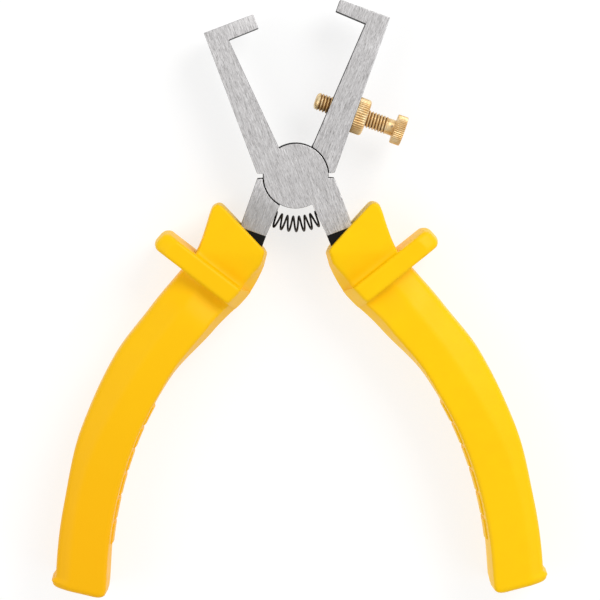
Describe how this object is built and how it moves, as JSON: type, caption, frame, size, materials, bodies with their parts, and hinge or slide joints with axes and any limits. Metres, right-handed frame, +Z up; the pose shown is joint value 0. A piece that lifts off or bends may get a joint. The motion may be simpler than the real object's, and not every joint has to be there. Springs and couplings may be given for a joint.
{
  "type": "wire stripper",
  "caption": "Sprung end wire stripper: two hooked jaws with facing wire notches on a lap pivot, a brass stop screw with lock nut, and insulated grips with finger guards.",
  "frame": {"origin": "middle of the open tool's outline, on the surface that it lies on", "axes": "+Z up along the pivot axis, +Y towards the jaws, +X towards the adjusting screw"},
  "size_m": [0.1286, 0.1534, 0.0204],
  "materials": {
    "lever_steel": "ground and brushed",
    "rivet_steel": "turned",
    "spring_steel": "black oxide",
    "brass": "machined",
    "sleeve_black": "satin",
    "grip_yellow": "moulded, satin"
  },
  "bodies": {
    "front_side": {"front_lever": "lever_steel", "pivot_rivet": "rivet_steel", "opening_spring": "spring_steel", "right_inner_sleeve": "sleeve_black", "right_grip": "grip_yellow"},
    "rear_side": {"rear_lever": "lever_steel", "left_inner_sleeve": "sleeve_black", "left_grip": "grip_yellow"},
    "screw": {"adjusting_screw": "brass"},
    "screw_knob": {"screw_head": "brass"},
    "nut": {"lock_nut": "brass"}
  },
  "joints": [
    {"name": "jaw_hinge", "type": "hinge", "parent": "front_side", "child": "rear_side", "pos_m": [0, 0.0315, 0.0102], "axis": [0, 0, 1], "range_deg": [-7.5, 33.5], "stiffness_Nm_per_rad": 0.31, "deforming": ["opening_spring"]},
    {"name": "screw_travel", "type": "slide", "parent": "rear_side", "child": "screw", "axis": [0.9388, -0.3445, 0], "range_m": [-0.0025, 0.0042]},
    {"name": "head_turn", "type": "hinge", "parent": "screw", "child": "screw_knob", "pos_m": [0.00689, 0.05028, 0.0102], "axis": [0.9388, -0.3445, 0], "range_deg": [-1125.5, 1890.5]},
    {"name": "nut_travel", "type": "slide", "parent": "rear_side", "child": "nut", "axis": [0.9388, -0.3445, 0], "range_m": [0, 0.003]}
  ],
  "couplings": [
    {"joint": "head_turn", "follows": "screw_travel", "rad_per_m": 7854}
  ]
}
